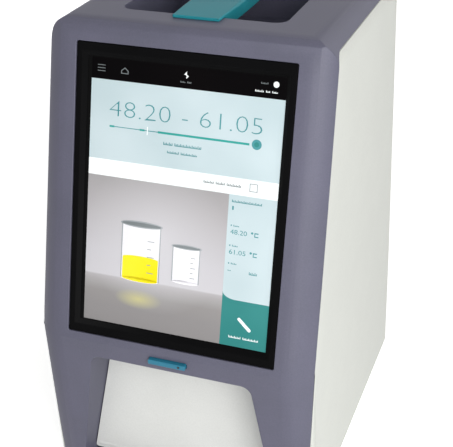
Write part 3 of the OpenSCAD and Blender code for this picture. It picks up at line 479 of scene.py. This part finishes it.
def screen_page():
    """Generic page: black bar, pale blue head, white strip, picture, readings, teal key."""
    half_w, half_h = LIT[0] / 2, LIT[1] / 2
    page = Sheet("screen_page")
    page.box(-half_w, half_w, BAR_LOW, half_h, 1, PAGE_BLACK)
    page.box(-half_w, half_w, HEAD_LOW, BAR_LOW, 1, PAGE_BLUE)
    page.box(-half_w, half_w, STRIP_LOW, HEAD_LOW, 1, PAGE_WHITE)
    page.box(-half_w, READINGS_LEFT, -half_h, STRIP_LOW, 1, PAGE_PHOTO)
    page.box(READINGS_LEFT, half_w, KEY_TOP, STRIP_LOW, 1, PAGE_BLUE)
    page.box(READINGS_LEFT, half_w, -half_h, KEY_TOP, 1, PAGE_TEAL)
    wide, tall = 10.8, 5.5
    corner = [(READINGS_LEFT, KEY_TOP), (READINGS_LEFT + wide, KEY_TOP)]
    corner += [(READINGS_LEFT + wide * (1 - math.sin(a)), KEY_TOP + tall * (1 - math.cos(a)))
               for a in [math.radians(9 * i) for i in range(1, 11)]]
    page.plate(corner, 1.5, PAGE_TEAL)
    for i in range(3):
        page.box(-72, -65.6, 93.3 + 2.2 * i, 93.8 + 2.2 * i, 2, PAGE_DARK)
    page.plate([(-52.6, 93), (-46.6, 93), (-46.6, 95.4), (-49.6, 97.8), (-52.6, 95.4)], 2,
               PAGE_DARK)
    page.plate([(-51.9, 93.6), (-47.3, 93.6), (-47.3, 95.2), (-49.6, 97), (-51.9, 95.2)], 3,
               PAGE_BLACK)
    page.plate([(-2, 97.6), (0.2, 100), (0.2, 97.6), (1.8, 96.6), (0, 94.6), (0, 97)], 2,
               PAGE_WHITE)
    page.words(-4.6, 92.2, [4.4, 3.6], 1.2, 2, PAGE_DARK)
    page.disc(69, 97.8, 2.2, 2.2, 2, PAGE_WHITE)
    page.words(57.5, 98, [6], 1.2, 2, PAGE_DARK)
    page.words(53.5, 92.2, [7, 3.6, 4.6], 1.4, 2, PAGE_WHITE)
    page.digits("48.20 - 61.05", -61, 60.4, 12.1, 122, 2, PAGE_INK, 0.025)
    page.box(-60.5, -20.5, 52.5, 53.1, 2, PAGE_INK)
    page.box(-60.5, -56.5, 52.1, 53.5, 3, PAGE_LINE)
    page.box(-35.5, -31.5, 52.1, 53.5, 3, PAGE_LINE)
    page.box(-20.5, 52, 52, 53.6, 3, PAGE_LINE)
    page.box(-29.5, -28.8, 49.6, 55.8, 3, PAGE_WHITE)
    page.disc(57.6, 53.2, 3.8, 3.8, 2, PAGE_INK)
    page.disc(57.6, 53.2, 1.9, 1.9, 3, PAGE_TEAL)
    page.words(-15.7, 45.1, [8, 22], 2.2, 2, PAGE_INK)
    page.words(-12.3, 39, [10, 13.4], 1.8, 2, PAGE_INK)
    page.words(18.3, 21, [8.6, 7.6, 11.8], 1.9, 2, PAGE_DARK)
    page.plate([(54.6, 18), (60.9, 18), (60.9, 24.2), (54.6, 24.2)], 2, PAGE_RIM)
    page.box(55.2, 60.3, 18.6, 23.6, 3, PAGE_WHITE)
    page.words(41.7, 9.4, [24], 1.8, 2, PAGE_INK)
    page.digits("1", 42.2, 2.6, 3, 1.2, 2, PAGE_INK)
    for y, figures in ((-15.8, "48.20"), (-31.2, "61.05")):
        page.words(42, y + 6.6, [1.6, 5], 1.2, 2, PAGE_INK, 0.6)
        page.digits(figures, 42, y, 3.6, 13.2, 2, PAGE_INK)
        page.disc(59.2, y + 2.9, 0.9, 0.9, 2, PAGE_INK, 16)
        page.box(61, 64.2, y, y + 3.4, 2, PAGE_INK)
        page.box(61.7, 64.3, y + 0.8, y + 2.6, 3, PAGE_BLUE)
    page.words(42, -38.4, [1.6, 5], 1.2, 2, PAGE_INK, 0.6)
    page.words(42, -44, [3], 0.8, 2, PAGE_INK)
    page.words(59, -44, [6.8], 2.2, 2, PAGE_INK)
    page.plate(bar_outline(53.9, -81.1, 62.5, -88.7, 1.3), 3, PAGE_WHITE)
    page.words(46.3, -95.9, [10.4, 13], 1.8, 3, PAGE_WHITE)
    beaker_picture(page)
    return page.done(PAGE)


def bar_outline(x0, y0, x1, y1, r):
    """Outline of a bar with round ends, r on each side of its line."""
    turn = math.atan2(y1 - y0, x1 - x0)
    outline = []
    for x, y, first in ((x1, y1, turn - math.pi / 2), (x0, y0, turn + math.pi / 2)):
        for i in range(13):
            angle = first + math.radians(15 * i)
            outline.append((x + r * math.cos(angle), y + r * math.sin(angle)))
    return outline


def beaker_picture(page):
    """Two plain glass beakers on the table, one of them with a yellow liquid."""
    for x, half, foot, tall, fill in ((-30, 16, -64, 44, 17), (8, 11, -60, 28, 0)):
        page.box(x - half, x + half, foot, foot + tall, 2, PAGE_CUP)
        page.disc(x, foot, half, 0.14 * half, 2, PAGE_CUP)
        if fill:
            page.box(x - half + 1, x + half - 1, foot, foot + fill, 3, PAGE_YELLOW)
            page.disc(x, foot, half - 1, 0.12 * half, 3, PAGE_YELLOW)
            page.disc(x, foot + fill, half - 1, 0.12 * half, 4, PAGE_YELLOW)
        for side in (-1, 1):
            page.box(x + side * half - 0.35, x + side * half + 0.35, foot, foot + tall, 5, PAGE_RIM)
        page.disc(x, foot + tall, half + 1.6, 0.16 * half, 5, PAGE_RIM)
        page.disc(x, foot + tall, half + 0.4, 0.1 * half, 6, PAGE_DARK)
        for mark in range(1, 6):
            page.box(x + 0.35 * half, x + (0.55 + 0.15 * (mark % 2)) * half, foot + mark * tall / 7,
                     foot + mark * tall / 7 + 0.5, 7, PAGE_RIM)


page_piece = screen_page()
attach(page_piece, "case")


# Small things on the rear face: switch marks, pins of the inlet, contacts and tongues of the ports

# Pad print on the switch: dull white
PRINT = finish("pad print, white", "#cfcfcc", "#dededb", (0.5, 0.6), 0.5, 0.004, IOR=1.5)


def rear_facing(x, y, z, tilt):
    """Frame of a sheet that looks out of the rear face, tilted by degrees."""
    return (REAR @ Matrix.Translation((x, y, z)) @ Matrix.Rotation(math.radians(tilt), 4, "X")
            @ Matrix.Rotation(math.pi, 4, "Z") @ Matrix.Rotation(math.pi / 2, 4, "X"))


def switch_marks():
    """Bar for on and ring for off, one on each face of the rocker."""
    on = Sheet("mark_on")
    on.box(-0.4, 0.4, -1.9, 1.9, 1, PRINT)
    off = Sheet("mark_off")
    off.disc(0, 0, 1.9, 1.9, 1, PRINT)
    off.disc(0, 0, 1.2, 1.2, 1.5, DEVICE)
    for piece in (on.done(rear_facing(SWITCH_X, 1.85, SWITCH_UP + 5.3, -10.1)),
                  off.done(rear_facing(SWITCH_X, 2.5, SWITCH_UP - 4.6, 19.1))):
        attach(piece, BODY["power_rocker"])


def bars(name, carrier, slot, sizes):
    """Plain bars in the rear frame, each as (middle, lengths), that ride with the carrier."""
    bm = bmesh.new()
    for middle, lengths in sizes:
        stretch = Matrix.Diagonal((*lengths, 1))
        bmesh.ops.create_cube(bm, size=1, matrix=Matrix.Translation(middle) @ stretch)
    piece = finished(name, bm, REAR, [FINISHES[slot]])
    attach(piece, BODY[carrier])


switch_marks()
bars("inlet_pins", "mains_inlet", "bright_steel", [
    ((SWITCH_X + x, -11.5, INLET_UP + z), (2.1, 11.1, 4.1))
    for x, z in ((-7, -1.5), (0, 2.5), (7, -1.5))])
bars("network_contacts", "io_ports", "brass", [
    ((PORT_X - 26.6 + 1.3 * i, -7.5, PORT_UP - 5.7), (0.5, 8, 0.8)) for i in range(8)])
bars("port_tongues", "io_ports", "ceramic_white", [
    ((PORT_X + x, -7, PORT_UP), lengths)
    for x, lengths in ((-3, (1.7, 9, 10.8)), (13, (1.7, 9, 10.8)), (25, (6.6, 7, 0.7)))])


# Camera and studio

def camera():
    """Camera at the photograph's angle."""
    yaw, pitch, roll = math.radians(YAW), math.radians(PITCH), math.radians(ROLL)
    ahead = Vector((-math.sin(yaw) * math.cos(pitch), math.cos(yaw) * math.cos(pitch),
                    -math.sin(pitch)))
    right = Vector((math.cos(yaw), math.sin(yaw), 0))
    up = right.cross(ahead)
    right, up = (math.cos(roll) * right + math.sin(roll) * up,
                 -math.sin(roll) * right + math.cos(roll) * up)
    lens = bpy.data.cameras.new("camera")
    lens.sensor_width = SENSOR_MM
    lens.lens = FOCAL_PX * SENSOR_MM / PHOTO_PX
    viewer = bpy.data.objects.new("camera", lens)
    bpy.context.scene.collection.objects.link(viewer)
    turn = Matrix((right, up, -ahead)).transposed().to_4x4()
    viewer.matrix_world = Matrix.Translation(CAMERA_SPOT) @ turn
    bpy.context.scene.camera = viewer


def any_ray(tree, *kinds):
    """1 for rays of any of those kinds, 0 for the others."""
    path = add(tree, "ShaderNodeLightPath")
    found = path.outputs[kinds[0]]
    for kind in kinds[1:]:
        found = maths(tree, "MAXIMUM", found, path.outputs[kind])
    return found


def studio():
    """Pale floor, white surroundings and soft light."""
    material, tree, shader = start("studio floor, matt white")
    grain = add(tree, "ShaderNodeTexNoise", {"Vector": place(tree), "Scale": 0.02, "Detail": 2})
    colour = ramp(tree, grain.outputs["Fac"], [(0.3, "#f1f1f1"), (0.7, "#f6f6f6")])
    tree.links.new(colour, shader.inputs["Base Color"])
    shader.inputs["Roughness"].default_value = 0.9
    seen = any_ray(tree, "Is Camera Ray", "Is Glossy Ray")
    glow = maths(tree, "MULTIPLY", seen, FLOOR_GLOW)
    white = add(tree, "ShaderNodeEmission", {"Strength": glow})
    both = add(tree, "ShaderNodeAddShader",
               {0: shader.outputs["BSDF"], 1: white.outputs["Emission"]})
    tree.links.new(both.outputs[0], tree.nodes["Material Output"].inputs["Surface"])
    bm = bmesh.new()
    bmesh.ops.create_grid(bm, x_segments=1, y_segments=1, size=FLOOR_HALF)
    finished("floor", bm, Matrix.Identity(4), [material])
    world = bpy.data.worlds.new("studio")
    bpy.context.scene.world = world
    world.use_nodes = True
    tree = world.node_tree
    seen = any_ray(tree, "Is Camera Ray", "Is Glossy Ray", "Is Transmission Ray")
    level = add(tree, "ShaderNodeMapRange", {"Value": seen, "To Min": AIR_LIGHT, "To Max": 1})
    air = tree.nodes["Background"]
    air.inputs["Color"].default_value = (1, 1, 1, 1)
    tree.links.new(level.outputs["Result"], air.inputs["Strength"])
    for name, (spot, size, power) in LAMPS.items():
        lamp(name, spot, size, power)


def lamp(name, spot, size, power):
    """Square soft box that faces the instrument."""
    light = bpy.data.lights.new(name, "AREA")
    light.shape = "SQUARE"
    light.size = size
    light.energy = power
    holder = bpy.data.objects.new(name, light)
    bpy.context.scene.collection.objects.link(holder)
    aim = (Vector(AIM) - Vector(spot)).to_track_quat("-Z", "Y")
    holder.matrix_world = Matrix.Translation(spot) @ aim.to_matrix().to_4x4()


camera()
studio()
bpy.context.scene.view_settings.view_transform = "Standard"
